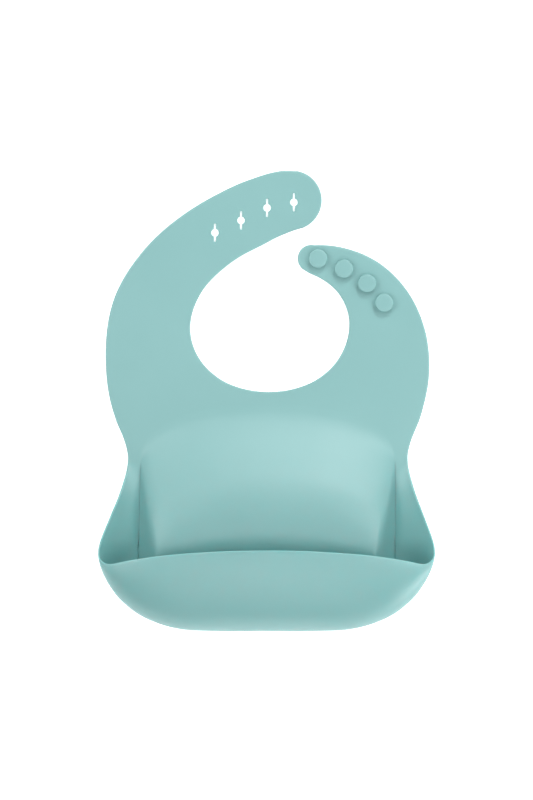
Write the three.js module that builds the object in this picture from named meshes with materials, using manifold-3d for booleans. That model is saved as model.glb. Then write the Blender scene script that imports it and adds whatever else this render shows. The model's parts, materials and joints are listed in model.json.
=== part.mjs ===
// A toddler's silicone bib with a standing crumb pouch, lying on its back.
// Millimetres. +X to the bib's right-hand side as seen from the front, +Y towards the neck, +Z up,
// out of the bib's front. The back of the sheet is z = 0 and the origin is under the bib's middle.
import * as THREE from 'three';
import { mergeVertices } from 'three/addons/utils/BufferGeometryUtils.js';
import Module from 'manifold-3d';

const wasm = await Module();
wasm.setup();

// ---- driving dimensions ----
const SHEET = 1.8;                   // thickness of the silicone
const GAP = 0.3;                     // clearance between neighbouring pieces
const FOLD_Y = 0;                    // fold line between the belly panel and the yoke

const NECK = new THREE.Vector2(2, 48.5);      // centre of the neck opening
// Edges around the neck centre, as [angle from +X in degrees, radius].
const NECK_EDGE = [
  [413, 44.7], [405, 46.6], [385, 51.2], [365, 53], [340, 51], [315, 47.2], [292, 44], [270, 42.9],
  [248, 44.2], [225, 47.7], [200, 51.5], [180, 52.6], [155, 50.9], [130, 49.4], [110, 51.1],
  [95, 54.7], [82, 61.9],
];
const STUD_STRAP_EDGE = [
  [318, 124.2], [328, 117.3], [345, 109.9], [360, 102.8], [375, 94.5], [390, 84.7], [405, 73.6],
  [416, 65.8],
];
const HOLE_STRAP_EDGE = [
  [86, 104], [98, 98.8], [113, 94.7], [130, 94.4], [150, 98.4], [170, 105.1], [190, 110.5],
  [207, 117.4], [217, 121.5],
];
const HOLE_STRAP_END = { centre: new THREE.Vector2(17, 132.9), radius: 19.7, from: -70, to: 82 };
const STUD_STRAP_END = { centre: new THREE.Vector2(29.8, 94.2), radius: 9.1, from: 78, to: 243 };

// Lines across the straps where one segment ends and the next begins, as angles round the neck.
const HOLE_STRAP_LINES = [40, 98, 132, 165];      // beyond its end, between holes 2 and 3, below hole 4, yoke
const STUD_STRAP_LINES = [458, 391, 355];         // beyond its end, between studs 2 and 3, yoke
// A line from the neck centre out between the two strap ends.
const BETWEEN_STRAPS = [[2, 48.5], [22, 107], [60, 107], [60, 200]];
const FAR = 200;                     // beyond the bib on every side

const KEYHOLES = [[18.2, 131.5], [0.4, 127.8], [-16.9, 119.5], [-34.2, 111.3]];
const KEYHOLE = { radius: 2.5, slitHalfLength: 6.1, slitHalfWidth: 0.65 };
const STUDS = [[34.2, 94], [51.3, 87.2], [66.6, 77.5], [77.9, 64.6]];
const STUD = { stemRadius: 2.3, neckHeight: 2.2, headRadius: 6.1, headHeight: 2.6, bevel: 0.7 };

// The belly panel's half width as [y, half width], from the fold down to the waist.
const SIDE_EDGE = [[1, 104.6], [-11, 101.5], [-21, 97.3], [-31, 93.8], [-40.5, 93]];
const PANEL_EDGE = 107;              // just beyond the panel's half width
const CREASE_X = 84.5;               // where the panel turns into the gussets
const CREASE_TOP = -44;
const ARCH = { rise: 41, power: 2.4 };            // top outline of the raised belly panel
// Height of the raised panel, by distance below the arch.
const PANEL_RISE = [
  [0, 0], [7, 0.8], [15, 3], [36, 10.6], [56, 17.8], [78, 21.5], [94, 19.5], [116, 10.5], [140, 0],
];
const WALL_WIDTH = { top: 6, bottom: 30, bottomY: -103 };      // the raised panel's steep sides
// Share of the panel's height reached at each share of a wall's width: steep, then a round shoulder.
const WALL_PROFILE = [[0, 0], [0.05, 0.1], [0.38, 0.83], [0.6, 0.95], [1, 1]];

// The pouch: three curves from the middle of the pouch's bottom round to the waist.
// root: where it leaves the back plane; bulge: its outermost line; rim: its free edge.
const POUCH = [
  { root: [0, -140], bulge: [0, -152.5, 16], rim: [0, -98.3, 46] },
  { root: [30, -139.8], bulge: [30, -152.5, 16], rim: [30, -98.9, 45.4] },
  { root: [58, -137], bulge: [58, -150.8, 17], rim: [58, -100.8, 43.3] },
  { root: [72, -131], bulge: [80, -143.5, 18.4], rim: [76, -102.8, 40.8] },
  { root: [80, -122], bulge: [95, -132.6, 20.4], rim: [92, -105.5, 37.2] },
  { root: [83.6, -113], bulge: [103.6, -121.6, 22.8], rim: [103, -107.6, 33.4] },
  { root: [84.5, -105], bulge: [108.9, -110.8, 25.2], rim: [108.9, -105.6, 29.8] },
  { root: [84.5, -98], bulge: [111.1, -100.4, 27], rim: [111.1, -100.4, 27] },
  { root: [84.5, -90], bulge: [109.7, -92, 23.8], rim: [109.7, -92, 23.8] },
  { root: [84.5, -76], bulge: [104.1, -77, 16.6], rim: [104.1, -77, 16.6] },
  { root: [84.5, -60], bulge: [97.6, -59.5, 7.4], rim: [97.6, -59.5, 7.4] },
  { root: [84.5, -44], bulge: [93, -41, 0], rim: [93, -41, 0] },
];
const GUSSET_KNOT = 7;               // from this knot on, the bulge is the rim itself
const FRONT_HALF = 58;               // the pouch front's free part, between the two gussets
const FLOOR_TOP = 8;                 // height where the bottom trough ends
const FRONT_BOTTOM = 11;             // height where the pouch front begins, past its bend

const SILICONE = new THREE.Color(0.30, 0.56, 0.54);

// ---- helpers ----
const radians = (degrees) => THREE.MathUtils.degToRad(degrees);

function aroundNeck([angle, radius]) {
  return new THREE.Vector2(Math.cos(radians(angle)), Math.sin(radians(angle)))
    .multiplyScalar(radius)
    .add(NECK);
}

function smoothEdge(knots, pointsPerKnot) {
  return new THREE.SplineCurve(knots).getPoints(pointsPerKnot * (knots.length - 1));
}

function roundEnd({ centre, radius, from, to }, steps) {
  const points = [];
  for (let i = 0; i <= steps; i += 1) {
    const angle = radians(from + ((to - from) * i) / steps);
    points.push(new THREE.Vector2(Math.cos(angle), Math.sin(angle)).multiplyScalar(radius).add(centre));
  }
  return points;
}

// Smooth value at x of a curve through [x, y] knots, flat beyond its ends.
function valueAt(knots, x) {
  const ascending = knots[0][0] < knots[knots.length - 1][0];
  const list = ascending ? knots : [...knots].reverse();
  const last = list.length - 1;
  if (x <= list[0][0]) return list[0][1];
  if (x >= list[last][0]) return list[last][1];
  let i = 0;
  while (x > list[i + 1][0]) i += 1;
  const slope = (k) => {
    const a = Math.max(k - 1, 0);
    const b = Math.min(k + 1, last);
    return (list[b][1] - list[a][1]) / (list[b][0] - list[a][0]);
  };
  const width = list[i + 1][0] - list[i][0];
  const t = (x - list[i][0]) / width;
  const [h00, h10] = [(1 + 2 * t) * (1 - t) ** 2, t * (1 - t) ** 2];
  const [h01, h11] = [t * t * (3 - 2 * t), t * t * (t - 1)];
  return h00 * list[i][1] + h10 * width * slope(i) + h01 * list[i + 1][1] + h11 * width * slope(i + 1);
}

function toSolid(geometry) {
  const bare = geometry.clone();
  bare.deleteAttribute('normal');
  bare.deleteAttribute('uv');
  const merged = mergeVertices(bare, 1e-4);
  return new wasm.Manifold(new wasm.Mesh({
    numProp: 3,
    vertProperties: new Float32Array(merged.attributes.position.array),
    triVerts: new Uint32Array(merged.index.array),
  }));
}

function toGeometry(solid) {
  const mesh = solid.getMesh();
  const geometry = new THREE.BufferGeometry();
  geometry.setAttribute('position', new THREE.BufferAttribute(new Float32Array(mesh.vertProperties), 3));
  geometry.setIndex(new THREE.BufferAttribute(new Uint32Array(mesh.triVerts), 1));
  geometry.computeVertexNormals();
  return geometry;
}

function prism(points, low, high, holes = []) {
  const shape = new THREE.Shape(points);
  shape.holes = holes.map((hole) => new THREE.Path(hole));
  const geometry = new THREE.ExtrudeGeometry(shape, { depth: high - low, bevelEnabled: false });
  return toSolid(geometry.translate(0, 0, low));
}

function block(low, high) {
  const size = high.map((value, k) => value - low[k]);
  const centre = high.map((value, k) => (value + low[k]) / 2);
  return toSolid(new THREE.BoxGeometry(...size).translate(...centre));
}

// A closed shell of one thickness behind a grid of points: rows[i][j] is a point of its outer face,
// and the material lies on the side of the grid that `inward` gives.
function shell(rows, thickness, inward) {
  const [m, n] = [rows.length, rows[0].length];
  const at = (i, j) => rows[Math.min(Math.max(i, 0), m - 1)][Math.min(Math.max(j, 0), n - 1)];
  const inner = rows.map((row, i) => row.map((point, j) => {
    const along = at(i + 1, j).clone().sub(at(i - 1, j));
    const across = at(i, j + 1).clone().sub(at(i, j - 1));
    return point.clone().addScaledVector(along.cross(across).normalize(), inward * thickness);
  }));
  const index = (layer, i, j) => (layer * m + i) * n + j;
  const faces = [];
  const quad = (a, b, c, d) => faces.push(a, b, c, a, c, d);
  for (let i = 0; i < m - 1; i += 1) {
    for (let j = 0; j < n - 1; j += 1) {
      quad(index(0, i, j), index(0, i, j + 1), index(0, i + 1, j + 1), index(0, i + 1, j));
      quad(index(1, i, j), index(1, i + 1, j), index(1, i + 1, j + 1), index(1, i, j + 1));
    }
  }
  for (let i = 0; i < m - 1; i += 1) {
    quad(index(0, i, 0), index(0, i + 1, 0), index(1, i + 1, 0), index(1, i, 0));
    quad(index(0, i + 1, n - 1), index(0, i, n - 1), index(1, i, n - 1), index(1, i + 1, n - 1));
  }
  for (let j = 0; j < n - 1; j += 1) {
    quad(index(0, 0, j + 1), index(0, 0, j), index(1, 0, j), index(1, 0, j + 1));
    quad(index(0, m - 1, j), index(0, m - 1, j + 1), index(1, m - 1, j + 1), index(1, m - 1, j));
  }
  if (inward < 0) faces.reverse();
  const geometry = new THREE.BufferGeometry();
  const points = [...rows.flat(), ...inner.flat()];
  geometry.setAttribute('position', new THREE.Float32BufferAttribute(points.flatMap((p) => p.toArray()), 3));
  geometry.setIndex(faces);
  return toSolid(geometry);
}

const bib = new THREE.Group();

function addNode(name, solid) {
  const material = new THREE.MeshStandardMaterial({ color: SILICONE, roughness: 0.6, metalness: 0 });
  const mesh = new THREE.Mesh(toGeometry(solid), material);
  mesh.name = name;
  bib.add(mesh);
}

// ---- the flat sheet: yoke and straps ----
function keyholeOutline([x, y]) {
  const { radius, slitHalfLength, slitHalfWidth } = KEYHOLE;
  const start = Math.acos(slitHalfWidth / radius);
  const points = [];
  for (const side of [1, -1]) {
    points.push(new THREE.Vector2(side * slitHalfWidth, side * slitHalfLength));
    for (let i = 0; i <= 6; i += 1) {
      const angle = start - (2 * start * i) / 6;
      points.push(new THREE.Vector2(side * radius * Math.cos(angle), side * radius * Math.sin(angle)));
    }
    points.push(new THREE.Vector2(side * slitHalfWidth, -side * slitHalfLength));
  }
  return points.map((point) => point.add(new THREE.Vector2(x, y)));
}

function flatSheet() {
  const outline = [
    ...smoothEdge(STUD_STRAP_EDGE.map(aroundNeck), 5),
    ...roundEnd(STUD_STRAP_END, 10),
    ...smoothEdge(NECK_EDGE.map(aroundNeck), 4),
    ...roundEnd(HOLE_STRAP_END, 12),
    ...smoothEdge(HOLE_STRAP_EDGE.map(aroundNeck), 5),
  ];
  return prism(outline, 0, SHEET, KEYHOLES.map(keyholeOutline));
}

// The part of the plane seen from the neck centre between two angles, half a gap in from each.
function sector(from, to) {
  const middle = radians((from + to) / 2);
  const setBack = GAP / 2 / Math.sin(radians((to - from) / 2));
  const tip = new THREE.Vector2(Math.cos(middle), Math.sin(middle)).multiplyScalar(setBack).add(NECK);
  const points = [tip];
  const steps = Math.ceil((to - from) / 45);
  for (let i = 0; i <= steps; i += 1) {
    const angle = radians(from + ((to - from) * i) / steps);
    points.push(new THREE.Vector2(Math.cos(angle), Math.sin(angle)).multiplyScalar(FAR * 1.3).add(tip));
  }
  return prism(points, -1, SHEET + 1);
}

function addStraps(sheet) {
  const holeSegments = ['hole_strap_tip', 'hole_strap_mid', 'hole_strap_base'];
  const studSegments = ['stud_strap_tip', 'stud_strap_base'];
  // The two straps pass the same angles near their ends, so each is cut from its own side of the line.
  const holeSide = prism(
    [...BETWEEN_STRAPS, [-FAR, FAR], [-FAR, -60]].map(([x, y]) => new THREE.Vector2(x, y)),
    -1,
    SHEET + 1,
  );
  holeSegments.forEach((name, k) => {
    const piece = sheet.intersect(sector(HOLE_STRAP_LINES[k], HOLE_STRAP_LINES[k + 1]));
    addNode(name, piece.intersect(holeSide));
  });
  studSegments.forEach((name, k) => {
    const piece = sheet.intersect(sector(STUD_STRAP_LINES[k + 1], STUD_STRAP_LINES[k]));
    addNode(name, piece.subtract(holeSide));
  });
  const yoke = sheet.intersect(sector(HOLE_STRAP_LINES[3], STUD_STRAP_LINES[2]));
  addNode('yoke', yoke.intersect(block([-FAR, FOLD_Y + GAP / 2, -1], [FAR, FAR, SHEET + 1])));
}

function addStuds() {
  const { stemRadius, neckHeight, headRadius, headHeight, bevel } = STUD;
  const foot = SHEET + GAP;
  const under = foot + neckHeight;
  const top = under + headHeight;
  const profile = [
    [0, foot], [stemRadius + 0.8, foot], [stemRadius, foot + 0.8], [stemRadius, under],
    [headRadius - bevel / 2, under], [headRadius, under + bevel], [headRadius, top - bevel],
    [headRadius - bevel, top], [0, top],
  ].map(([radius, height]) => new THREE.Vector2(radius, height));
  STUDS.forEach(([x, y], k) => {
    const stud = new THREE.LatheGeometry(profile, 24).rotateX(Math.PI / 2).translate(x, y, 0);
    addNode(`stud_${k + 1}`, toSolid(stud));
  });
}

// ---- the belly panel ----
function creaseHalf(y) {
  return valueAt(POUCH.slice(1).map(({ root }) => [root[1], root[0]]), y);
}

function wallWidth(y) {
  const down = THREE.MathUtils.clamp((CREASE_TOP - y) / (CREASE_TOP - WALL_WIDTH.bottomY), 0, 1);
  return THREE.MathUtils.lerp(WALL_WIDTH.top, WALL_WIDTH.bottom, down);
}

function panelHeight(x, y) {
  const across = Math.min(Math.abs(x) / CREASE_X, 1);
  const arch = CREASE_TOP + ARCH.rise * (1 - across ** ARCH.power) ** (1 / ARCH.power);
  const side = THREE.MathUtils.clamp((creaseHalf(y) - Math.abs(x)) / wallWidth(y), 0, 1);
  return valueAt(PANEL_RISE, arch - y) * valueAt(WALL_PROFILE, side);
}

// The panel's outline: both free edges down to the waist, and a line inside the pouch's root curve.
function panelOutline(clearance) {
  const side = smoothEdge(SIDE_EDGE.map(([y, half]) => new THREE.Vector2(half, y)), 4);
  const root = pouchCurve('root').getPoints(88);
  const inset = root.slice(1, -1).map((point, k) => {
    const along = root[k + 2].clone().sub(root[k]).normalize();
    return new THREE.Vector2(point.x - along.y * clearance, point.y + along.x * clearance);
  });
  const waist = inset[inset.length - 1].clone().setY(CREASE_TOP + clearance);
  const right = [...side, waist];
  const left = right.map((point) => new THREE.Vector2(-point.x, point.y));
  return [...left, ...inset, ...right.reverse()];
}

// Across the panel at y: even steps over its raised middle, the knots of each steep side, and the flat
// margins.
function panelColumns(y) {
  const [inner, margin] = [10, 3];
  const crease = creaseHalf(y);
  const wall = wallWidth(y);
  const right = [];
  for (let j = 0; j <= inner; j += 1) right.push(((crease - wall) * j) / inner);
  for (const [share] of WALL_PROFILE.slice(0, -1).reverse()) right.push(crease - wall * share);
  for (let j = 1; j <= margin; j += 1) right.push(THREE.MathUtils.lerp(crease, PANEL_EDGE, j / margin));
  return [...right.slice(1).reverse().map((x) => -x), ...right];
}

function addBellyPanel() {
  const lines = 34;
  const [top, bottom] = [FOLD_Y - GAP / 2, POUCH[0].root[1] - 1];
  const rows = [];
  for (let i = 0; i <= lines; i += 1) {
    const y = THREE.MathUtils.lerp(top, bottom, i / lines);
    rows.push(panelColumns(y).map((x) => new THREE.Vector3(x, y, panelHeight(x, y))));
  }
  const outline = prism(panelOutline(GAP), -1, 40);
  addNode('belly_panel', shell(rows, SHEET, 1).intersect(outline));
}

// ---- the pouch ----
function pouchCurve(key) {
  const right = POUCH.map((knot) => new THREE.Vector3(knot[key][0], knot[key][1], knot[key][2] ?? 0));
  const left = right.slice(1).reverse().map((p) => new THREE.Vector3(-p.x, p.y, p.z));
  return new THREE.CatmullRomCurve3([...left, ...right], false, 'catmullrom', 0.5);
}

// Evenly spaced points from the root, out to the bulge and back in to the rim.
function pouchProfile(root, bulge, rim, roundness, count) {
  const dense = [];
  const quarter = 12;
  for (let i = 0; i <= quarter; i += 1) {
    const t = i / quarter;
    const angle = (t * Math.PI) / 2;
    const outward = THREE.MathUtils.lerp(t, Math.sin(angle), roundness);
    const upward = THREE.MathUtils.lerp(t, 1 - Math.cos(angle), roundness);
    const point = root.clone().lerp(bulge, outward);
    point.z = THREE.MathUtils.lerp(root.z, bulge.z, upward);
    dense.push(point);
  }
  if (bulge.distanceTo(rim) > 0.01) {
    for (let i = 1; i <= quarter; i += 1) {
      const angle = ((i / quarter) * Math.PI) / 2;
      const point = bulge.clone().lerp(rim, 1 - Math.cos(angle));
      point.z = THREE.MathUtils.lerp(bulge.z, rim.z, Math.sin(angle));
      dense.push(point);
    }
  }
  const path = new THREE.CurvePath();
  for (let i = 1; i < dense.length; i += 1) path.add(new THREE.LineCurve3(dense[i - 1], dense[i]));
  return Array.from({ length: count + 1 }, (_, i) => path.getPointAt(i / count));
}

function pouchShell() {
  const [around, up] = [88, 12];
  const curves = ['root', 'bulge', 'rim'].map(pouchCurve);
  const spans = POUCH.length - 1;
  const rows = [];
  for (let i = 0; i <= around; i += 1) {
    const [root, bulge, rim] = curves.map((curve) => curve.getPoint(i / around));
    const knot = Math.abs((2 * i) / around - 1) * spans;
    const straighter = THREE.MathUtils.smoothstep(knot, GUSSET_KNOT - 2, GUSSET_KNOT + 2);
    const roundness = THREE.MathUtils.lerp(1, 0.15, straighter);
    rows.push(pouchProfile(root, knot >= GUSSET_KNOT ? rim : bulge, rim, roundness, up));
  }
  return shell(rows, SHEET, -1);
}

function addPouch() {
  const whole = pouchShell().subtract(prism(panelOutline(0), -1, 4));
  const inner = FRONT_HALF - GAP / 2;
  const outer = FRONT_HALF + GAP / 2;
  addNode('pouch_front', whole.intersect(block([-inner, -FAR, FRONT_BOTTOM], [inner, 0, FAR])));
  addNode('pouch_floor', whole.intersect(block([-inner, -FAR, -5], [inner, 0, FLOOR_TOP])));
  addNode('left_gusset', whole.intersect(block([-FAR, -FAR, -5], [-outer, 0, FAR])));
  addNode('right_gusset', whole.intersect(block([outer, -FAR, -5], [FAR, 0, FAR])));
}

addBellyPanel();
addPouch();
addStraps(flatSheet());
addStuds();

export default bib;
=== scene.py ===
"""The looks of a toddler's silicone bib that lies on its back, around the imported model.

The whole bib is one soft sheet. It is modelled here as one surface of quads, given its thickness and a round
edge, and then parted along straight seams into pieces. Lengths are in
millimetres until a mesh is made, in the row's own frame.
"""

import json
import math

import bpy
import numpy as np
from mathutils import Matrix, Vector
from mathutils.geometry import delaunay_2d_cdt


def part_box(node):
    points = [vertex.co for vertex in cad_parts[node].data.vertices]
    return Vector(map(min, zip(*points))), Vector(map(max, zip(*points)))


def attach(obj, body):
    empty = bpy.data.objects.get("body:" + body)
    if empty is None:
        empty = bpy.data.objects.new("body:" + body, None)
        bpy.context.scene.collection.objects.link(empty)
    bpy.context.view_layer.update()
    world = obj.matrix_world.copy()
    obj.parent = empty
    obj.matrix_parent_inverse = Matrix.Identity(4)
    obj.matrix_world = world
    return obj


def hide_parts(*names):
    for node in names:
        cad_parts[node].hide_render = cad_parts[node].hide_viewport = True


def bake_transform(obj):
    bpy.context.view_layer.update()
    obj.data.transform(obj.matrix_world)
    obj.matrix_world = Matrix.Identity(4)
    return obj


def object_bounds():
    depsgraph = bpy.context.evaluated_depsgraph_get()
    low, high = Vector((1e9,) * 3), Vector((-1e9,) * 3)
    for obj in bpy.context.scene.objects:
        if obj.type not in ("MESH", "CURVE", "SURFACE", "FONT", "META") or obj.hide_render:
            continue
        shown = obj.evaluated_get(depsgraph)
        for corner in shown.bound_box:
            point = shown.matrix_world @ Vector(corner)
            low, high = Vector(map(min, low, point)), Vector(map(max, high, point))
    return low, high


MM = 0.001

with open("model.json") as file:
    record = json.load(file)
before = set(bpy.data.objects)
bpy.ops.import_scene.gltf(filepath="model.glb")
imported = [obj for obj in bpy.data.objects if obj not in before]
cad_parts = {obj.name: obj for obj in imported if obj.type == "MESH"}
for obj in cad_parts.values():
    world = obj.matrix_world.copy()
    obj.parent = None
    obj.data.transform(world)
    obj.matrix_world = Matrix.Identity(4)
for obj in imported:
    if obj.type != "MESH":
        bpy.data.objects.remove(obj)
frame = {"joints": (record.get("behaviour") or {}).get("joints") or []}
cad_low, cad_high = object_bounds()
joints = {joint["name"]: joint for joint in frame["joints"]}

# ---- driving dimensions, as the CAD part has them ----
SHEET = (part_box("yoke")[1].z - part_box("yoke")[0].z) / MM
EDGE = SHEET / 2                       # radius of the sheet's round edge
SEAM_Y = -14.0                         # the yoke's piece meets the pouch's piece here

NECK = np.array([2.0, 48.5])
# Edges around the neck centre, as (angle from +X in degrees, radius).
NECK_EDGE = [
    (71.7, 69.4), (82, 61.9), (95, 54.7), (110, 51.1), (130, 49.4), (155, 50.9), (180, 52.6), (200, 51.5),
    (225, 47.7), (248, 44.2), (270, 42.9), (292, 44), (315, 47.2), (340, 51), (365, 53), (385, 51.2),
    (405, 46.6), (413, 44.7), (417.8, 44.4),
]
HOLE_STRAP_EDGE = [
    (80.3, 105.2), (86, 104), (98, 98.8), (113, 94.7), (130, 94.4), (150, 98.4), (170, 105.1), (190, 110.5),
    (207, 117.4), (217, 121.5),
]
STUD_STRAP_EDGE = [
    (318, 124.2), (328, 117.3), (345, 109.9), (360, 102.8), (375, 94.5), (390, 84.7), (405, 73.6),
    (416, 65.8), (421.5, 62.1),
]
HOLE_STRAP_END = (np.array([17.0, 132.9]), 19.7)
STUD_STRAP_END = (np.array([29.8, 94.2]), 9.1)
KEYHOLES = [(18.2, 131.5), (0.4, 127.8), (-16.9, 119.5), (-34.2, 111.3)]
KEYHOLE_RADIUS = 2.5
SLIT_HALF_LENGTH = 6.1
SLIT_HALF_WIDTH = 0.65
KEYHOLE_EDGE = 0.25                    # radius of a keyhole's crisp edges
KEYHOLE_REACH = 2.6                    # the sheet is meshed afresh this far beyond a slit's end
FILL_RINGS = (0.8, 1.6)                # extra rings of points, this far outside a keyhole's outline

CREASE_X = 84.5
CREASE_TOP = -44.0
ARCH_RISE = 41.0
ARCH_POWER = 2.4
PANEL_RISE = [
    (0, 0), (7, 0.8), (15, 3), (36, 10.6), (56, 17.8), (78, 21.5), (94, 19.5), (116, 10.5), (140, 0),
]
WALL_WIDTH = (6.0, 30.0)               # width of the raised panel's steep sides, at the top and bottom
WALL_BOTTOM_Y = -103.0
# Share of the panel's height reached at each share of a wall's width: steep, then a round shoulder.
WALL_PROFILE = [(0, 0), (0.05, 0.1), (0.38, 0.83), (0.6, 0.95), (1, 1)]
# From the middle of the pouch's bottom to the yoke's seam: where it leaves the back plane, its outermost
# line and its free edge, and how many steps lead to the next knot.
POUCH = [
    ((0, -140), (0, -152.5, 16), (0, -98.3, 46), 15),
    ((30, -139.8), (30, -152.5, 16), (30, -98.9, 45.4), 14),
    ((58, -137), (58, -150.8, 17), (58, -100.8, 43.3), 10),
    ((72, -131), (80, -143.5, 18.4), (76, -102.8, 40.8), 9),
    ((80, -122), (95, -132.6, 20.4), (92, -105.5, 37.2), 8),
    ((83.6, -113), (103.6, -121.6, 22.8), (103, -107.6, 33.4), 8),
    ((84.5, -105), (108.9, -110.8, 25.2), (108.9, -105.6, 29.8), 8),
    ((84.5, -98), (111.1, -100.4, 27), (111.1, -100.4, 27), 7),
    ((84.5, -90), (109.7, -92, 23.8), (109.7, -92, 23.8), 9),
    ((84.5, -76), (104.1, -77, 16.6), (104.1, -77, 16.6), 9),
    ((84.5, -60), (97.6, -59.5, 7.4), (97.6, -59.5, 7.4), 9),
    ((84.5, -44), (93, -41, 0), (93, -41, 0), 9),
    ((84.5, -29), (94.6, -28.5, 0), (94.6, -28.5, 0), 8),
    ((84.5, SEAM_Y), (100.4, SEAM_Y, 0), (100.4, SEAM_Y, 0), 0),
]
PROFILE_CURL = 0.85                    # how much rounder a profile is at the pouch than at the gusset
THIN_FROM = 0.4                        # the sheet thins from this share of a profile to its free edge
# The pouch lies a little askew under the yoke: its sideways shift, by y.
ASKEW = [(-152, -0.4), (-104, 0), (-56, 0.8), (SEAM_Y, 0.8)]
LENS_KNOT = 4                          # the panel's last straight row ends at this knot
GUSSET_KNOT = 7                        # from this knot on, the pouch has no wall in front of its bulge
WAIST_KNOT = 11
PROFILE_STEPS = 32
PROFILE_SAMPLES = 25                   # points on each half of a profile before it is spaced evenly
RIM_SHARE = 0.62                       # the sheet thins to this share at the pouch's free edge
RING_STEPS = 27
RING_DEGREES = 1.5                     # between the ring's columns round the neck
HOLE_END_ANGLE = 86.0                  # columns are closer together from here to the hole strap's tip
STUD_END_ANGLE = 410.0                 # and from here to the stud strap's tip
LENS_STEPS = 12
ROUND_STEPS = 8                        # facets round the sheet's edge
KEYS_PER_MM = 2000                     # points closer together than about one key are one point
MIN_LEAN = 0.2                         # least cosine used between a point's normal and a face's
MAX_DEPTH_GAIN = 1.45                  # most that a point's depth grows at a sharp fold

# Base colour at the two ends of the pigment's clouding.
PIGMENT = [(0.212, 0.466, 0.461), (0.226, 0.484, 0.479)]

STUD_HEAD_RADIUS = (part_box("stud_1")[1].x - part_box("stud_1")[0].x) / 2 / MM
STUD_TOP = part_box("stud_1")[1].z / MM
STUD_STEM_RADIUS = 2.3
STUD_HEAD_DEPTH = 2.6
STUD_EDGE = 0.9                        # radius of the head's round edge
STUD_EDGE_DEPTH = 1.05                 # from the head's top down to that round edge's centre
STUD_AROUND = 64
# Stem where it flares into the strap: (radius beyond the stem's, height above the sheet).
STUD_FLARE = [(1.6, -0.05), (0.9, 0.12), (0.35, 0.45), (0, 1.0)]
# Stem where it meets the head: (radius beyond the stem's, height above the head's underside).
STUD_NECK = [(0, -0.4), (0.15, -0.12), (0.5, 0)]
# The head's underside: (radius beyond the head's, height above the underside).
STUD_UNDERSIDE = [(-1.0, 0.1), (-0.35, 0.35)]
# The head's top: (share of the head's radius, depth below the top).
STUD_CROWN = [(0.66, 0.06), (0.33, 0.02)]


# ---- curves ----
def value_at(knots, x):
    """Smooth value at each x of a curve through (x, y) knots, flat beyond its ends."""
    kx, ky = np.array(knots, float).T
    x = np.clip(x, kx[0], kx[-1])
    left, right = np.maximum(np.arange(len(kx)) - 1, 0), np.minimum(np.arange(len(kx)) + 1, len(kx) - 1)
    slope = (ky[right] - ky[left]) / (kx[right] - kx[left])
    i = np.clip(np.searchsorted(kx, x, side="right") - 1, 0, len(kx) - 2)
    width = kx[i + 1] - kx[i]
    t = (x - kx[i]) / width
    value = (1 + 2 * t) * (1 - t) ** 2 * ky[i] + t * (1 - t) ** 2 * width * slope[i]
    return value + t * t * (3 - 2 * t) * ky[i + 1] + t * t * (t - 1) * width * slope[i + 1]


def spline(points, counts):
    """Points of a smooth curve through the given ones, with counts[i] steps from point i to the next."""
    p = np.array(points, float)
    p = np.vstack([2 * p[0] - p[1], p, 2 * p[-1] - p[-2]])
    out = []
    for i, count in enumerate(counts):
        a, b, c, d = p[i : i + 4]
        square = 2 * a - 5 * b + 4 * c - d
        cube = 3 * b - a - 3 * c + d
        for t in np.arange(count) / count:
            out.append(0.5 * (2 * b + (c - a) * t + square * t**2 + cube * t**3))
    out.append(p[-2])
    return np.array(out)


def direction(angle):
    return np.array([math.cos(math.radians(angle)), math.sin(math.radians(angle))])


def angle_of(point):
    """Angle round the neck centre, in degrees from 0 to 360."""
    return math.degrees(math.atan2(point[1] - NECK[1], point[0] - NECK[0])) % 360


# ---- the flat ring: yoke and straps ----
def inset_radius(knots, angle, sign):
    """The edge's radius moved by EDGE into the sheet, square to the edge."""
    radius = float(value_at(knots, angle))
    step = 0.5
    ahead = float(value_at(knots, angle + step))
    behind = float(value_at(knots, angle - step))
    slope = (ahead - behind) / math.radians(2 * step)
    return radius + sign * EDGE * math.hypot(1, slope / radius)


def end_radii(end, angle):
    """Where a ray from the neck centre crosses a strap's round end, EDGE inside it."""
    centre, radius = end[0] - NECK, end[1] - EDGE
    along = float(centre @ direction(angle))
    off = float(centre @ centre) - along**2
    half = math.sqrt(max(radius**2 - off, 0))
    return along - half, along + half


def tangent_angle(end, side):
    centre, radius = end[0] - NECK, end[1] - EDGE
    spread = math.degrees(math.asin(radius / math.hypot(*centre)))
    return angle_of(end[0]) + side * spread


def ring_radii(angle):
    """Inner and outer radius of the sheet's middle line of edge, at an angle from 67 to 429 degrees."""
    hole_side = angle < 270
    outer_knots = HOLE_STRAP_EDGE if hole_side else STUD_STRAP_EDGE
    inner = inset_radius(NECK_EDGE, angle, 1)
    outer = inset_radius(outer_knots, angle, -1)
    if angle < NECK_EDGE[0][0]:
        inner = end_radii(HOLE_STRAP_END, angle)[0]
    if angle < HOLE_STRAP_EDGE[0][0]:
        outer = end_radii(HOLE_STRAP_END, angle)[1]
    if angle > NECK_EDGE[-1][0]:
        inner = end_radii(STUD_STRAP_END, angle - 360)[0]
    if angle > STUD_STRAP_EDGE[-1][0]:
        outer = end_radii(STUD_STRAP_END, angle - 360)[1]
    return inner, outer


def steps_between(start, stop, step):
    count = max(1, round(abs(stop - start) / step))
    return list(np.linspace(start, stop, count + 1))


def end_angles(tip, inland, count=22):
    """Angles from a strap's very tip inland, closer together at the tip."""
    return [tip + (inland - tip) * (k / count) ** 2 for k in range(count + 1)]


def hinge_angle(name):
    """Where a strap's bend lies round the neck, from its joint's axis."""
    x, y, _ = joints[name]["axis"]
    sign = -1 if name.startswith("hole") else 1
    return math.degrees(math.atan2(sign * y, sign * x)) % 360


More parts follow.
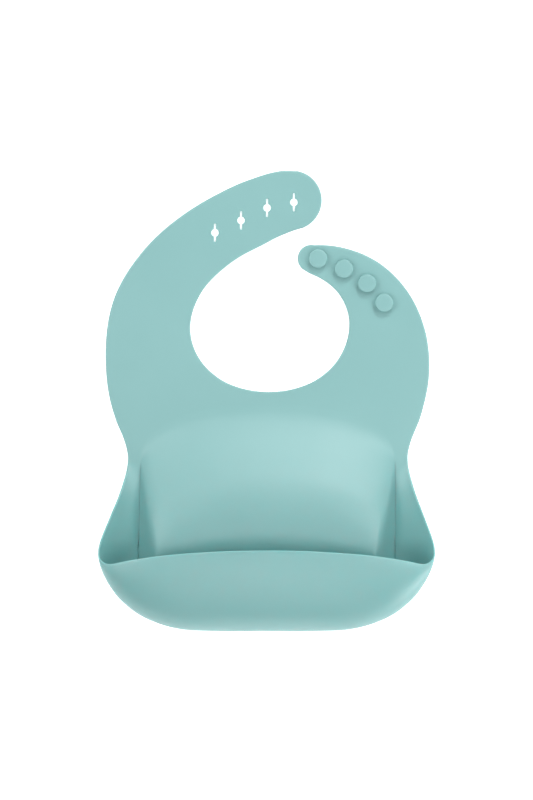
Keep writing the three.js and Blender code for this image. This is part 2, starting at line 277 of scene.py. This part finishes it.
HOLE_BENDS = [hinge_angle(f"hole_strap_{part}_bend") for part in ("tip", "mid", "base")]
STUD_BENDS = [hinge_angle("stud_strap_base_bend"), hinge_angle("stud_strap_tip_bend") + 360]
YOKE_MARGIN = 13.0                     # from a strap's first bend back to its seam on the yoke
BETWEEN_HOLES = (angle_of(KEYHOLES[2]) + angle_of(KEYHOLES[3])) / 2
HOLE_SEAMS = [BETWEEN_HOLES, sum(HOLE_BENDS[1:3]) / 2, HOLE_BENDS[2] + YOKE_MARGIN]
STUD_SEAMS = [STUD_BENDS[0] - YOKE_MARGIN, sum(STUD_BENDS) / 2]
PIECES = [
    "belly_and_pouch", "yoke_sheet", "hole_strap_base_sheet", "hole_strap_mid_sheet", "hole_strap_tip_sheet",
    "stud_strap_base_sheet", "stud_strap_tip_sheet",
]


def ring_piece(angle):
    """Which piece the ring's faces at this angle belong to."""
    if angle < HOLE_SEAMS[0]:
        return 4
    if angle < HOLE_SEAMS[1]:
        return 3
    if angle < HOLE_SEAMS[2]:
        return 2
    if angle < STUD_SEAMS[0]:
        return 1
    return 5 if angle < STUD_SEAMS[1] else 6


# ---- the surface, as shared points and tagged faces ----
def key_of(xyz):
    """Points that share this key are one point."""
    return tuple(int(round(value * KEYS_PER_MM)) for value in xyz)


class Surface:
    """Points and faces of the sheet's back; each face's normal points to the sheet's front."""

    def __init__(self):
        self.points = []
        self.shares = []               # each point's share of the full thickness
        self.index = {}
        self.faces = []
        self.pieces = []
        self.walls = {}                # for points on a keyhole's edge, the points down its wall

    def point(self, xyz, share=1.0):
        key = key_of(xyz)
        if key not in self.index:
            self.index[key] = len(self.points)
            self.points.append(np.array(xyz, float))
            self.shares.append(share)
        return self.index[key]

    def face(self, corners, piece):
        kept = [c for k, c in enumerate(corners) if c != corners[k - 1]]
        if len(set(kept)) >= 3:
            self.faces.append(kept)
            self.pieces.append(piece)

    def grid(self, rows, piece_of, shares=None):
        """Quads between rows of points; piece_of(i) names the piece between rows i and i + 1."""
        shares = shares or [[1.0] * len(row) for row in rows]
        ids = [[self.point(xyz, share) for xyz, share in zip(*pair)] for pair in zip(rows, shares)]
        for i in range(len(ids) - 1):
            for j in range(len(ids[i]) - 1):
                corners = [ids[i][j], ids[i][j + 1], ids[i + 1][j + 1], ids[i + 1][j]]
                self.face(corners, piece_of(i))


def crease_half(y):
    knots = [(root[1], root[0]) for root, _, _, _ in POUCH[1 : GUSSET_KNOT + 1]]
    return value_at(knots, y)


def panel_height(x, y):
    across = min(abs(x) / CREASE_X, 1.0)
    arch = CREASE_TOP + ARCH_RISE * (1 - across**ARCH_POWER) ** (1 / ARCH_POWER)
    down = min(max((CREASE_TOP - y) / (CREASE_TOP - WALL_BOTTOM_Y), 0.0), 1.0)
    width = WALL_WIDTH[0] + (WALL_WIDTH[1] - WALL_WIDTH[0]) * down
    side = min(max((float(crease_half(y)) - abs(x)) / width, 0.0), 1.0)
    return float(value_at(PANEL_RISE, arch - y)) * float(value_at(WALL_PROFILE, side))


def ease(value, start, stop):
    t = min(max((value - start) / (stop - start), 0.0), 1.0)
    return t * t * (3 - 2 * t)


def pouch_profile(root, bulge, rim, roundness, edge):
    """Evenly spaced points from the root, out to the bulge and back in to the middle of the round edge."""
    t = np.linspace(0, 1, PROFILE_SAMPLES)[:, None]
    outward = t + (np.sin(t * math.pi / 2) - t) * roundness
    upward = t + (1 - np.cos(t * math.pi / 2) - t) * roundness
    lower = root + (bulge - root) * np.hstack([outward, outward, upward])
    path = lower
    if np.linalg.norm(bulge - rim) > 0.01:
        inward, rise = 1 - np.cos(t[1:] * math.pi / 2), np.sin(t[1:] * math.pi / 2)
        path = np.vstack([lower, bulge + (rim - bulge) * np.hstack([inward, inward, rise])])
    length = np.concatenate([[0], np.cumsum(np.linalg.norm(np.diff(path, axis=0), axis=1))])
    at = np.linspace(0, length[-1] - edge, PROFILE_STEPS + 1)
    return np.column_stack([np.interp(at, length, path[:, k]) for k in range(3)])


def pouch_rows():
    """Profiles from the left end of the yoke's seam, round the pouch, to its right end; and their shares."""
    counts = [knot[3] for knot in POUCH[:-1]]
    all_counts = counts[::-1] + counts
    curves = []
    for key in range(3):
        right = [tuple(knot[key]) + (0,) * (3 - len(knot[key])) for knot in POUCH]
        left = [(-x, y, z) for x, y, z in right[:0:-1]]
        curve = spline(left + right, all_counts)
        curve[:, 2] = np.maximum(curve[:, 2], 0)
        curves.append(curve)
    position = [i + k / count for i, count in enumerate(all_counts) for k in range(count)]
    knots = np.abs(np.array(position + [len(all_counts)]) - len(counts))
    rows, shares = [], []
    for root, bulge, rim, knot in zip(*curves, knots):
        roundness = 1 - PROFILE_CURL * ease(knot, GUSSET_KNOT - 2, GUSSET_KNOT + 2)
        thinning = (1 - RIM_SHARE) * (1 - ease(knot, WAIST_KNOT - 3, WAIST_KNOT))
        outer = rim if knot >= GUSSET_KNOT else bulge
        rows.append(pouch_profile(root, outer, rim, roundness, EDGE * (1 - thinning)))
        shares.append([1 - thinning * ease(v, THIN_FROM, 1) for v in np.linspace(0, 1, PROFILE_STEPS + 1)])
    return rows, shares


def build_surface():
    surface = Surface()
    rows, shares = pouch_rows()
    surface.grid(rows, lambda i: 0, shares)
    roots = np.array([row[0] for row in rows])
    straight = sum(knot[3] for knot in POUCH[LENS_KNOT:])
    bottom = roots[straight : len(roots) - straight]
    spread = bottom[:, 0] / bottom[-1, 0]
    panel = []
    for k in range(straight + 1):
        half, y = -roots[k][0], roots[k][1]
        panel.append([(half * s, y, panel_height(half * s, y)) for s in spread])
    for k in range(1, LENS_STEPS + 1):
        share = k / LENS_STEPS
        row = []
        for low in bottom:
            y = bottom[0][1] + (low[1] - bottom[0][1]) * share
            row.append((low[0], y, panel_height(low[0], y) if k < LENS_STEPS else 0.0))
        panel.append(row)
    for row in panel[: straight + 1]:
        row[0], row[-1] = (row[0][0], row[0][1], 0.0), (row[-1][0], row[-1][1], 0.0)
    surface.grid([row[::-1] for row in panel], lambda i: 0)
    for point in surface.points:
        point[0] += value_at(ASKEW, point[1])
    surface.index = {key_of(point): k for k, point in enumerate(surface.points)}
    seam = [tuple(p) for p in rows[0][:0:-1]] + panel[0] + [tuple(p) for p in rows[-1][1:]]
    add_ring(surface, [(x + value_at(ASKEW, y), y, z) for x, y, z in seam])
    return surface


def add_ring(surface, seam):
    """The yoke and both straps, from the hole strap's tip round to the stud strap's tip."""
    left = angle_of(seam[0])
    right = angle_of(seam[-1])
    hole_tip = tangent_angle(HOLE_STRAP_END, -1)
    stud_tip = tangent_angle(STUD_STRAP_END, 1) + 360
    marks = [HOLE_END_ANGLE, *HOLE_SEAMS, left]
    angles = end_angles(hole_tip, marks[0])
    for start, stop in zip(marks, marks[1:]):
        angles += steps_between(start, stop, RING_DEGREES)[1:]
    columns = [(angle, None) for angle in angles[:-1]]
    columns += [(angle_of(point), point) for point in seam]
    marks = [right, *STUD_SEAMS, STUD_END_ANGLE]
    angles = []
    for start, stop in zip(marks, marks[1:]):
        angles += steps_between(start, stop, RING_DEGREES)[1:]
    angles += end_angles(stud_tip, marks[-1])[-2::-1]
    columns += [(angle, None) for angle in angles]
    rows = []
    for angle, point in columns:
        inner, outer = ring_radii(angle)
        start = NECK + direction(angle) * inner
        stop = NECK + direction(angle) * outer
        base = 0.0
        if point is not None:
            start = NECK + direction(angle) * inset_radius(NECK_EDGE, angle, 1)
            stop, base = np.array(point[:2]), point[2]
        row = []
        for v in np.linspace(0, 1, RING_STEPS + 1):
            x, y = start + (stop - start) * v
            height = panel_height(x - ASKEW[-1][1], y) if point is not None and v < 1 else base
            row.append((x, y, height))
        rows.append(row)
    middles = [(a[0] + b[0]) / 2 for a, b in zip(columns, columns[1:])]
    surface.grid(rows, lambda i: ring_piece(middles[i]))


# ---- keyholes ----
def keyhole_outline(centre, grow):
    """The keyhole's outline moved outwards by grow: a round hole with a straight slit through it."""
    radius, half_width = KEYHOLE_RADIUS + grow, SLIT_HALF_WIDTH + grow
    tip = SLIT_HALF_LENGTH - SLIT_HALF_WIDTH
    corner = math.asin(half_width / radius)
    bore_angles = np.linspace(0, math.pi / 2 - corner, 7)
    tip_angles = np.linspace(0, math.pi / 2, 6)
    top = math.sqrt(radius**2 - half_width**2)
    quarter = [(radius * math.cos(a), radius * math.sin(a)) for a in bore_angles]
    quarter += [(half_width, top + (tip - top) * share) for share in (0.33, 0.67)]
    quarter += [(half_width * math.cos(a), tip + half_width * math.sin(a)) for a in tip_angles]
    upper = quarter + [(-x, y) for x, y in quarter[-2::-1]]
    outline = upper + [(x, -y) for x, y in upper[-2:0:-1]]
    return [(x + centre[0], y + centre[1]) for x, y in outline]


def inside(point, polygon):
    x, y = point
    result = False
    for (ax, ay), (bx, by) in zip(polygon, polygon[1:] + polygon[:1]):
        if (ay > y) != (by > y) and x < ax + (y - ay) * (bx - ax) / (by - ay):
            result = not result
    return result


def cut_keyhole(surface, centre):
    """Opens the sheet round a keyhole and fills up to the hole's edge with fine triangles."""
    reach = SLIT_HALF_LENGTH + KEYHOLE_REACH
    middle = [np.mean([surface.points[c] for c in face], axis=0) for face in surface.faces]
    gone = {k for k, m in enumerate(middle) if math.hypot(m[0] - centre[0], m[1] - centre[1]) < reach}
    edges = {}
    for k in gone:
        face = surface.faces[k]
        for a, b in zip(face, face[1:] + face[:1]):
            edges[(a, b)] = surface.pieces[k]
    border = {a: b for (a, b) in edges if (b, a) not in edges}
    loop = [next(iter(border))]
    while border[loop[-1]] != loop[0]:
        loop.append(border[loop[-1]])
    piece = next(iter(edges.values()))
    keep = [k for k in range(len(surface.faces)) if k not in gone]
    surface.faces = [surface.faces[k] for k in keep]
    surface.pieces = [surface.pieces[k] for k in keep]
    outer = [tuple(surface.points[c][:2]) for c in loop]
    hole = keyhole_outline(centre, KEYHOLE_EDGE)
    near, far = FILL_RINGS
    spots = outer + hole + keyhole_outline(centre, near) + keyhole_outline(centre, far)[::2]
    n, m = len(outer), len(hole)
    angles = (math.pi / 6, math.pi / 3, math.pi / 2)
    drop = [1 - math.cos(a) for a in angles]
    back = [1 - math.sin(a) for a in angles]
    levels = [(KEYHOLE_EDGE * b, SHEET - KEYHOLE_EDGE * d) for b, d in zip(back, drop)]
    levels += [(0.0, SHEET / 2)] + [(grow, SHEET - z) for grow, z in levels[::-1]]
    walls = [[(x, y, z) for x, y in keyhole_outline(centre, grow)] for grow, z in levels]
    constraints = [(k, (k + 1) % n) for k in range(n)] + [(n + k, n + (k + 1) % m) for k in range(m)]
    tolerance = 1e-6
    verts, _, faces, origin, _, _ = delaunay_2d_cdt(
        [Vector(p) for p in spots], constraints, [], 0, tolerance
    )
    ids = []
    for vert, source in zip(verts, origin):
        first = min(source)
        ids.append(loop[first] if first < n else surface.point((vert.x, vert.y, 0.0)))
        if n <= first < n + m:
            surface.walls[ids[-1]] = [np.array(level[first - n]) for level in walls]
    outward = set(zip(loop[1:] + loop[:1], loop))
    for face in faces:
        x, y = np.mean([verts[k][:] for k in face], axis=0)
        a, b, c = (verts[k] for k in face)
        corners = [ids[k] for k in face]
        if (b - a).cross(c - a) < 0:
            corners.reverse()
        beyond = outward & set(zip(corners, corners[1:] + corners[:1]))
        if not beyond and inside((x, y), outer) and not inside((x, y), hole):
            surface.face(corners, piece)


# ---- thickness, round edge, and parting into pieces ----
def unit(vectors):
    return vectors / np.maximum(np.linalg.norm(vectors, axis=-1, keepdims=True), 1e-12)


class Solid:
    """The sheet with its thickness: front and back faces, and a round edge along every free edge."""

    def __init__(self, surface):
        self.surface = surface
        points = np.array(surface.points)
        normals = np.zeros_like(points)
        flat = []
        for face in surface.faces:
            p = points[face]
            n = np.cross(p[1:] - p[0], np.roll(p, -1, axis=0)[1:] - p[0]).sum(axis=0)
            flat.append(unit(n))
            for corner in face:
                normals[corner] += n
        self.normals = unit(normals)
        lean = np.zeros(len(points))
        used = np.zeros(len(points))
        for face, n in zip(surface.faces, flat):
            for corner in face:
                lean[corner] += max(float(n @ self.normals[corner]), MIN_LEAN)
                used[corner] += 1
        gain = np.minimum(used / np.maximum(lean, 1e-9), MAX_DEPTH_GAIN)
        self.depth = SHEET * np.array(surface.shares) * gain
        self.edges = {}
        for k, face in enumerate(surface.faces):
            for a, b in zip(face, face[1:] + face[:1]):
                self.edges[(a, b)] = k
        self.back = points
        self.front = points + self.normals * self.depth[:, None]
        self.rims = self.round_edges()

    def round_edges(self):
        """For each point on a free edge, the points of a half circle from its front to its back."""
        outward = {}
        for (a, b), k in self.edges.items():
            if (b, a) in self.edges:
                continue
            along = self.back[b] - self.back[a]
            for corner in (a, b):
                away = unit(np.cross(along, self.normals[corner]))
                outward[corner] = outward.get(corner, 0) + away
        rims = {}
        for corner, away in outward.items():
            away = unit(away)
            middle = (self.front[corner] + self.back[corner]) / 2
            half = (self.front[corner] - self.back[corner]) / 2
            angles = [math.pi / 2 - math.pi * k / ROUND_STEPS for k in range(1, ROUND_STEPS)]
            away = away * np.linalg.norm(half)
            rims[corner] = [middle + away * math.cos(a) + half * math.sin(a) for a in angles]
            for point in rims[corner]:
                point[2] = max(point[2], 0.0)  # nothing dips under the table
        return {**rims, **self.surface.walls}

    def piece(self, number):
        """Points, faces and cap faces of one piece, closed at its seams."""
        points, index, faces, caps = [], {}, [], []

        def use(kind, corner, k=0):
            key = (kind, corner, k)
            if key not in index:
                index[key] = len(points)
                source = {"front": self.front, "back": self.back}.get(kind)
                points.append(self.rims[corner][k] if source is None else source[corner])
            return index[key]

        def section(corner):
            ring = [use("rim", corner, k) for k in range(ROUND_STEPS - 1)]
            return [use("front", corner), *ring, use("back", corner)]

        own = [k for k, tag in enumerate(self.surface.pieces) if tag == number]
        for k in own:
            face = self.surface.faces[k]
            faces.append([use("front", c) for c in face])
            faces.append([use("back", c) for c in face[::-1]])
            for a, b in zip(face, face[1:] + face[:1]):
                other = self.edges.get((b, a))
                if other is None:
                    one, two = section(a), section(b)
                    for i in range(ROUND_STEPS):
                        faces.append([one[i], one[i + 1], two[i + 1], two[i]])
                elif self.surface.pieces[other] != number:
                    caps.append([use("front", b), use("front", a), use("back", a), use("back", b)])
                    for corner in (a, b):
                        if corner in self.rims:
                            end = section(corner)
                            caps.append(end if corner == b else end[::-1])
        return points, faces, caps


def make_mesh(name, points, faces, sharp_faces=()):
    mesh = bpy.data.meshes.new(name)
    mesh.from_pydata([tuple(np.array(p) * MM) for p in points], [], faces + list(sharp_faces))
    mesh.validate()
    mesh.shade_smooth()
    hard = {tuple(sorted(pair)) for face in sharp_faces for pair in zip(face, face[1:] + face[:1])}
    if hard:
        attribute = mesh.attributes.new("sharp_edge", "BOOLEAN", "EDGE")
        flags = [tuple(sorted(edge.vertices)) in hard for edge in mesh.edges]
        attribute.data.foreach_set("value", flags)
    piece = bpy.data.objects.new(name, mesh)
    bpy.context.scene.collection.objects.link(piece)
    return piece


# ---- studs ----
def make_stud(number):
    """A mushroom stud: a stem that flares into the strap, under a soft flat head."""
    low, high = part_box(f"stud_{number}")
    centre = (low + high) / 2 / MM
    head, top, stem = STUD_HEAD_RADIUS, STUD_TOP, STUD_STEM_RADIUS
    under = top - STUD_HEAD_DEPTH
    profile = [(stem + wider, SHEET + z) for wider, z in STUD_FLARE]
    profile += [(stem + wider, under + z) for wider, z in STUD_NECK]
    profile += [(head + wider, under + z) for wider, z in STUD_UNDERSIDE]
    for angle in np.linspace(-30, 90, 9):
        a = math.radians(angle)
        z = top - STUD_EDGE_DEPTH + STUD_EDGE * math.sin(a)
        profile.append((head - STUD_EDGE + STUD_EDGE * math.cos(a), z))
    profile += [(head * share, top - depth) for share, depth in STUD_CROWN]
    around = STUD_AROUND
    points, faces = [], []
    for radius, z in profile:
        for k in range(around):
            a = 2 * math.pi * k / around
            points.append((centre.x + radius * math.cos(a), centre.y + radius * math.sin(a), z))
    for i in range(len(profile) - 1):
        for k in range(around):
            j = (k + 1) % around
            faces.append([i * around + k, i * around + j, (i + 1) * around + j, (i + 1) * around + k])
    points += [(centre.x, centre.y, SHEET + STUD_FLARE[0][1]), (centre.x, centre.y, top)]
    last = (len(profile) - 1) * around
    for k in range(around):
        j = (k + 1) % around
        faces.append([len(points) - 2, j, k])
        faces.append([len(points) - 1, last + k, last + j])
    return make_mesh(f"stud_{number}_moulded", points, faces)


# ---- material ----
def add_node(tree, kind, inputs=None, **settings):
    node = tree.nodes.new(kind)
    for key, value in settings.items():
        setattr(node, key, value)
    for key, value in (inputs or {}).items():
        node.inputs[key].default_value = value
    return node


def silicone(name, see_through):
    """Matt moulded silicone; where the sheet stands free of the table some light passes through it."""
    material = bpy.data.materials.new(name)
    material.use_nodes = True
    tree = material.node_tree
    link = tree.links.new
    shader = tree.nodes["Principled BSDF"]
    place = add_node(tree, "ShaderNodeTexCoord")
    # Slow clouding of the pigment.
    cloud = add_node(tree, "ShaderNodeTexNoise", {"Scale": 14.0, "Detail": 3.0, "Roughness": 0.5})
    link(place.outputs["Object"], cloud.inputs["Vector"])
    tint = add_node(tree, "ShaderNodeValToRGB")
    for stop, position, colour in zip(tint.color_ramp.elements, (0.3, 0.7), PIGMENT):
        stop.position = position
        stop.color = (*colour, 1)
    link(cloud.outputs["Fac"], tint.inputs["Fac"])
    link(tint.outputs["Color"], shader.inputs["Base Color"])
    # The mould's fine blasted grain, and how evenly it scatters light.
    grain = add_node(tree, "ShaderNodeTexNoise", {"Scale": 2600.0, "Detail": 2.0, "Roughness": 0.6})
    link(place.outputs["Object"], grain.inputs["Vector"])
    wave = add_node(tree, "ShaderNodeTexNoise", {"Scale": 45.0, "Detail": 2.0, "Roughness": 0.5})
    link(place.outputs["Object"], wave.inputs["Vector"])
    gloss = add_node(tree, "ShaderNodeMapRange", {"To Min": 0.4, "To Max": 0.5})
    link(wave.outputs["Fac"], gloss.inputs["Value"])
    link(gloss.outputs["Result"], shader.inputs["Roughness"])
    slow = add_node(tree, "ShaderNodeBump", {"Strength": 0.2, "Distance": 0.0003})
    link(wave.outputs["Fac"], slow.inputs["Height"])
    fine = add_node(tree, "ShaderNodeBump", {"Strength": 0.12, "Distance": 0.00004})
    link(grain.outputs["Fac"], fine.inputs["Height"])
    link(slow.outputs["Normal"], fine.inputs["Normal"])
    link(fine.outputs["Normal"], shader.inputs["Normal"])
    shader.inputs["Specular IOR Level"].default_value = 1.15
    if see_through:
        split = add_node(tree, "ShaderNodeSeparateXYZ")
        link(place.outputs["Object"], split.inputs["Vector"])
        start, full = -0.030, -0.065   # metres along Y, from no light passing through to the most
        fade = add_node(tree, "ShaderNodeMapRange", {"From Min": start, "From Max": full, "To Max": 1.0})
        link(split.outputs["Y"], fade.inputs["Value"])
        link(fade.outputs["Result"], shader.inputs["Subsurface Weight"])
        shader.inputs["Subsurface Radius"].default_value = (0.4, 1.0, 1.0)
        shader.inputs["Subsurface Scale"].default_value = 0.002
    return material


# ---- joints ----
# For each piece, its joint and how far the bend reaches before and after the joint's line.
BENDS = {
    "yoke_sheet": ("yoke_fold", 3, 17),
    "hole_strap_base_sheet": ("hole_strap_base_bend", 2, 12),
    "hole_strap_mid_sheet": ("hole_strap_mid_bend", 2, 11),
    "hole_strap_tip_sheet": ("hole_strap_tip_bend", 3, 8),
    "stud_strap_base_sheet": ("stud_strap_base_bend", 2, 9),
    "stud_strap_tip_sheet": ("stud_strap_tip_bend", 4, 5),
}


def bend(piece):
    """Bakes the piece's placing into its mesh; nothing here makes it bend over its joint."""
    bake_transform(piece)


def build_bib():
    finish = silicone("matt_silicone", see_through=False)
    free_standing = silicone("matt_silicone_lit_through", see_through=True)
    surface = build_surface()
    for centre in KEYHOLES:
        cut_keyhole(surface, centre)
    solid = Solid(surface)
    pieces = {}
    for number, name in enumerate(PIECES):
        points, faces, caps = solid.piece(number)
        pieces[name] = make_mesh(name, points, faces, caps)
        pieces[name].data.materials.append(free_standing if number == 0 else finish)

    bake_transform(pieces["belly_and_pouch"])
    for name, (joint, before, after) in BENDS.items():
        bend(pieces[name])
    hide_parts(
        "belly_panel", "left_gusset", "right_gusset", "pouch_floor", "pouch_front"
    )
    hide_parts("yoke")
    for name in PIECES[2:]:
        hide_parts(name.removesuffix("_sheet"))
    for number in (1, 2, 3, 4):
        stud = make_stud(number)
        stud.data.materials.append(finish)
        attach(stud, "stud_strap_tip" if number <= 2 else "stud_strap_base")
        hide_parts(f"stud_{number}")


# ---- stage ----
# Lights on the middle line, or alone: angle clockwise from the neck side, height, both in degrees, and watts.
SINGLE_LIGHTS = [("front_overhead", 180, 70, 5.5), ("front", 180, 45, 3.0), ("kicker", 130, 8, 12.0)]
# Lights in equal pairs, one on each side.
PAIRED_LIGHTS = [("high", 40, 55, 5.0), ("side", 90, 50, 7.5), ("rear", 50, 30, 2.0)]


def softbox(name, azimuth, elevation, energy, size=0.8, distance=1.8):
    """A square soft light aimed at the bib."""
    light = bpy.data.lights.new(name, "AREA")
    light.shape = "SQUARE"
    light.size = size
    light.energy = energy
    lamp = bpy.data.objects.new(name, light)
    a, e = math.radians(azimuth), math.radians(elevation)
    place = Vector((math.sin(a) * math.cos(e), math.cos(a) * math.cos(e), math.sin(e))) * distance
    lamp.location = place
    lamp.rotation_euler = (-place).to_track_quat("-Z", "Y").to_euler()
    bpy.context.scene.collection.objects.link(lamp)


def build_stage():
    scene = bpy.context.scene
    scene.view_settings.view_transform = "Standard"
    world = bpy.data.worlds.new("studio")
    scene.world = world
    world.use_nodes = True
    background = world.node_tree.nodes["Background"]
    background.inputs["Color"].default_value = (1, 1, 1, 1)
    background.inputs["Strength"].default_value = 0.02

    # A white floor with low white walls, beyond the camera on every side.
    half, wall, gap = 4.0 / MM, 0.9 / MM, 0.2
    corners = [(-half, -half), (half, -half), (half, half), (-half, half)]
    points = [(x, y, z) for z in (-gap, wall) for x, y in corners]
    walls = [[k, 4 + k, 4 + (k + 1) % 4, (k + 1) % 4] for k in range(4)]
    floor = make_mesh("floor", points, [[0, 1, 2, 3]], walls)
    paint = bpy.data.materials.new("white_floor")
    paint.use_nodes = True
    shader = paint.node_tree.nodes["Principled BSDF"]
    shader.inputs["Base Color"].default_value = (0.93, 0.93, 0.93, 1)
    shader.inputs["Roughness"].default_value = 0.8
    shader.inputs["Specular IOR Level"].default_value = 0.1
    shader.inputs["Emission Color"].default_value = (1, 1, 1, 1)
    shader.inputs["Emission Strength"].default_value = 0.55
    floor.data.materials.append(paint)

    softbox("key_beyond_the_neck", 15, 42, 8.0, size=0.3)
    for name, azimuth, elevation, energy in SINGLE_LIGHTS:
        softbox(name, azimuth, elevation, energy)
    for name, azimuth, elevation, energy in PAIRED_LIGHTS:
        softbox(f"{name}_right", azimuth, elevation, energy)
        softbox(f"{name}_left", -azimuth, elevation, energy)

    # Straight above, as far off as a long lens stands.
    camera = bpy.data.cameras.new("camera")
    distance = 3.0
    length = cad_high.y - cad_low.y
    object_share = 0.574               # the bib's share of the picture's height
    camera.sensor_width = 36.0
    camera.lens = camera.sensor_width * distance / (length / object_share)
    camera.clip_end = 20.0
    seat = bpy.data.objects.new("camera", camera)
    seat.location = (0.0, 0.0002, distance)
    scene.collection.objects.link(seat)
    scene.camera = seat


build_bib()
build_stage()
